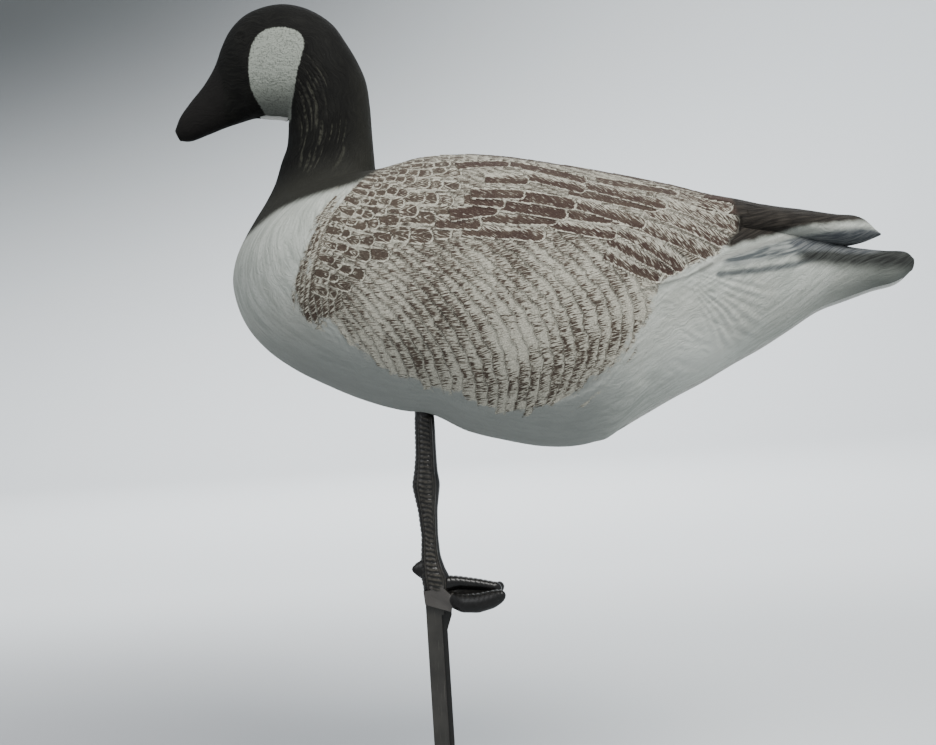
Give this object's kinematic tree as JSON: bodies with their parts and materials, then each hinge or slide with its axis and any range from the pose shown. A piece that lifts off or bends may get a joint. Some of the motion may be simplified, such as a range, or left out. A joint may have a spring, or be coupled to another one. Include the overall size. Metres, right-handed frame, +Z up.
{
  "type": "canada goose field decoy",
  "caption": "Hollow foam Canada goose decoy that turns on a post plugged into a moulded leg and foot with a ground spike.",
  "frame": {"origin": "on the stake's axis at ground level, where the ground spike enters the soil", "axes": "+Z up along the stake, -X the way the goose looks, +X towards the tail, -Y the goose's left side"},
  "size_m": [0.6885, 0.2002, 0.7965],
  "materials": {
    "painted_foam_left": "hand-painted closed-cell foam, matt: black head and neck, brown feathers, grey-white belly",
    "painted_foam_right": "hand-painted closed-cell foam, matt: black head and neck, brown feathers, grey-white belly",
    "bare_foam": "unpainted closed-cell foam",
    "bush_plastic": "natural moulded plastic",
    "leg_plastic": "semi-gloss black moulded plastic with a scaly skin",
    "spike_plastic": "satin brownish black moulded plastic",
    "post_steel": "zinc-plated",
    "clip_steel": "spring steel"
  },
  "bodies": {
    "stake": {"leg": "leg_plastic", "ground_spike": "spike_plastic", "spike_pin": "post_steel"},
    "post": {"swivel_post": "post_steel", "thrust_washer": "post_steel", "retaining_clip": "clip_steel"},
    "goose": {"left_shell": "painted_foam_left", "right_shell": "painted_foam_right", "belly_block": "bare_foam", "belly_bush": "bush_plastic", "back_block": "bare_foam", "top_bush": "bush_plastic"}
  },
  "joints": [
    {"name": "lift_off", "type": "slide", "parent": "stake", "child": "post", "axis": [0, 0, 1], "range_m": [0, 0.045]},
    {"name": "swivel", "type": "hinge", "parent": "post", "child": "goose", "pos_m": [0, 0, 0.38], "axis": [0, 0, 1], "continuous": true}
  ]
}
